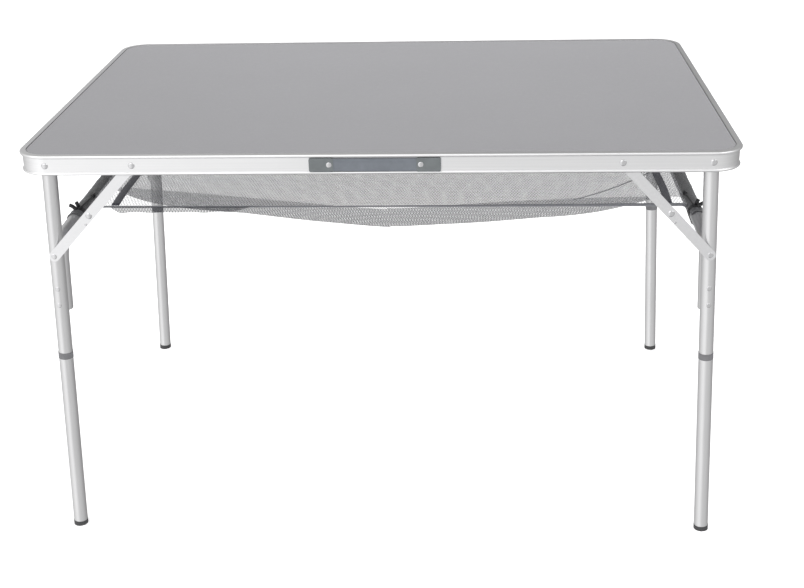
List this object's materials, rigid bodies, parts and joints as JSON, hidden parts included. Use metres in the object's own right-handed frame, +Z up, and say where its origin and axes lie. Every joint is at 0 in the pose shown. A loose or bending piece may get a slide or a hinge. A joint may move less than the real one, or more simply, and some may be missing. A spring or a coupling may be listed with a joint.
{
  "type": "folding table",
  "caption": "Folding camping table with an aluminium framed laminate top, two folding leg frames with pull-off lower legs, hinged braces, a carrying handle and a storage net.",
  "frame": {"origin": "on the floor, under the middle of the top", "axes": "+X along the table's long side, +Y towards its rear long side (the handle is on -Y), +Z up"},
  "size_m": [1.2, 0.8, 0.73],
  "materials": {
    "rail_aluminium": "satin anodised extrusion",
    "tube_aluminium": "matte anodised tube",
    "brace_metal": "satin zinc plated strip",
    "rivet_steel": "satin",
    "laminate": "fine grey laminate on fibreboard",
    "batten_board": "raw board",
    "grey_plastic": "moulded",
    "foot_plastic": "moulded, slightly soft",
    "handle_cap_plastic": "fine moulded grain",
    "handle_strap_plastic": "flexible strap",
    "bush_plastic": "nylon",
    "net_mesh": "fine open mesh",
    "net_binding": "woven binding tape",
    "hook_plastic": "moulded"
  },
  "bodies": {
    "top": {"batten_left": "batten_board", "batten_right": "batten_board", "board": "laminate", "brace_top_pins": "rivet_steel", "brace_top_washers": "bush_plastic", "frame_half_left": "rail_aluminium", "frame_half_right": "rail_aluminium", "handle_cap_left": "handle_cap_plastic", "handle_cap_right": "handle_cap_plastic", "handle_rivets": "rivet_steel", "handle_strap": "handle_strap_plastic", "joint_plate_front": "brace_metal", "joint_plate_rear": "brace_metal", "joint_rivets": "rivet_steel", "leg_pivot_bushes": "bush_plastic", "leg_pivot_pins": "rivet_steel", "net_mesh": "net_mesh", "net_tape_front": "net_binding", "net_tape_left": "net_binding", "net_tape_rear": "net_binding", "net_tape_right": "net_binding"},
    "leg_frame_left": {"leg_front_left": "tube_aluminium", "leg_rear_left": "tube_aluminium", "cross_tube_left": "tube_aluminium", "cross_rivets_left": "rivet_steel", "brace_low_pins_left": "rivet_steel", "net_sleeve_left": "net_binding", "net_hooks_left": "hook_plastic"},
    "extension_front_left": {"lower_leg_front_left": "tube_aluminium", "collar_front_left": "grey_plastic", "foot_front_left": "foot_plastic"},
    "upper_brace_front_left": {"upper_link_front_left": "brace_metal", "brace_rivet_front_left": "rivet_steel"},
    "lower_brace_front_left": {"lower_link_front_left": "brace_metal"},
    "extension_rear_left": {"lower_leg_rear_left": "tube_aluminium", "collar_rear_left": "grey_plastic", "foot_rear_left": "foot_plastic"},
    "upper_brace_rear_left": {"upper_link_rear_left": "brace_metal", "brace_rivet_rear_left": "rivet_steel"},
    "lower_brace_rear_left": {"lower_link_rear_left": "brace_metal"},
    "leg_frame_right": {"leg_front_right": "tube_aluminium", "leg_rear_right": "tube_aluminium", "cross_tube_right": "tube_aluminium", "cross_rivets_right": "rivet_steel", "brace_low_pins_right": "rivet_steel", "net_sleeve_right": "net_binding", "net_hooks_right": "hook_plastic"},
    "extension_front_right": {"lower_leg_front_right": "tube_aluminium", "collar_front_right": "grey_plastic", "foot_front_right": "foot_plastic"},
    "upper_brace_front_right": {"upper_link_front_right": "brace_metal", "brace_rivet_front_right": "rivet_steel"},
    "lower_brace_front_right": {"lower_link_front_right": "brace_metal"},
    "extension_rear_right": {"lower_leg_rear_right": "tube_aluminium", "collar_rear_right": "grey_plastic", "foot_rear_right": "foot_plastic"},
    "upper_brace_rear_right": {"upper_link_rear_right": "brace_metal", "brace_rivet_rear_right": "rivet_steel"},
    "lower_brace_rear_right": {"lower_link_rear_right": "brace_metal"}
  },
  "joints": [
    {"name": "left_fold", "type": "hinge", "parent": "top", "child": "leg_frame_left", "pos_m": [-0.547, 0, 0.712], "axis": [0, 1, 0], "range_deg": [-92.54, 0], "deforming": ["net_mesh", "net_tape_front", "net_tape_rear", "net_tape_left", "net_tape_right"]},
    {"name": "left_front_upper_brace", "type": "hinge", "parent": "top", "child": "upper_brace_front_left", "pos_m": [-0.402, -0.3912, 0.712], "axis": [0, 1, 0], "range_deg": [-133.5, 0]},
    {"name": "left_front_lower_brace", "type": "hinge", "parent": "leg_frame_left", "child": "lower_brace_front_left", "pos_m": [-0.55429, -0.3884, 0.54766], "axis": [0, 1, 0], "range_deg": [0, 140.5]},
    {"name": "left_front_extension", "type": "slide", "parent": "leg_frame_left", "child": "extension_front_left", "axis": [-0.0443, 0, -0.999], "range_m": [0, 0.06]},
    {"name": "left_rear_upper_brace", "type": "hinge", "parent": "top", "child": "upper_brace_rear_left", "pos_m": [-0.402, 0.3912, 0.712], "axis": [0, 1, 0], "range_deg": [-133.5, 0]},
    {"name": "left_rear_lower_brace", "type": "hinge", "parent": "leg_frame_left", "child": "lower_brace_rear_left", "pos_m": [-0.55429, 0.3884, 0.54766], "axis": [0, 1, 0], "range_deg": [0, 140.5]},
    {"name": "left_rear_extension", "type": "slide", "parent": "leg_frame_left", "child": "extension_rear_left", "axis": [-0.0443, 0, -0.999], "range_m": [0, 0.06]},
    {"name": "right_fold", "type": "hinge", "parent": "top", "child": "leg_frame_right", "pos_m": [0.547, 0, 0.712], "axis": [0, 1, 0], "range_deg": [0, 92.54], "deforming": ["net_mesh", "net_tape_front", "net_tape_rear", "net_tape_left", "net_tape_right"]},
    {"name": "right_front_upper_brace", "type": "hinge", "parent": "top", "child": "upper_brace_front_right", "pos_m": [0.402, -0.3912, 0.712], "axis": [0, 1, 0], "range_deg": [0, 133.5]},
    {"name": "right_front_lower_brace", "type": "hinge", "parent": "leg_frame_right", "child": "lower_brace_front_right", "pos_m": [0.55429, -0.3884, 0.54766], "axis": [0, 1, 0], "range_deg": [-140.5, 0]},
    {"name": "right_front_extension", "type": "slide", "parent": "leg_frame_right", "child": "extension_front_right", "axis": [0.0443, 0, -0.999], "range_m": [0, 0.06]},
    {"name": "right_rear_upper_brace", "type": "hinge", "parent": "top", "child": "upper_brace_rear_right", "pos_m": [0.402, 0.3912, 0.712], "axis": [0, 1, 0], "range_deg": [0, 133.5]},
    {"name": "right_rear_lower_brace", "type": "hinge", "parent": "leg_frame_right", "child": "lower_brace_rear_right", "pos_m": [0.55429, 0.3884, 0.54766], "axis": [0, 1, 0], "range_deg": [-140.5, 0]},
    {"name": "right_rear_extension", "type": "slide", "parent": "leg_frame_right", "child": "extension_rear_right", "axis": [0.0443, 0, -0.999], "range_m": [0, 0.06]}
  ],
  "couplings": [
    {"joint": "left_front_upper_brace", "follows": "left_fold", "ratio": 1.4353},
    {"joint": "left_front_lower_brace", "follows": "left_fold", "ratio": -1.5098},
    {"joint": "left_rear_upper_brace", "follows": "left_fold", "ratio": 1.4353},
    {"joint": "left_rear_lower_brace", "follows": "left_fold", "ratio": -1.5098},
    {"joint": "right_front_upper_brace", "follows": "right_fold", "ratio": 1.4353},
    {"joint": "right_front_lower_brace", "follows": "right_fold", "ratio": -1.5098},
    {"joint": "right_rear_upper_brace", "follows": "right_fold", "ratio": 1.4353},
    {"joint": "right_rear_lower_brace", "follows": "right_fold", "ratio": -1.5098}
  ]
}
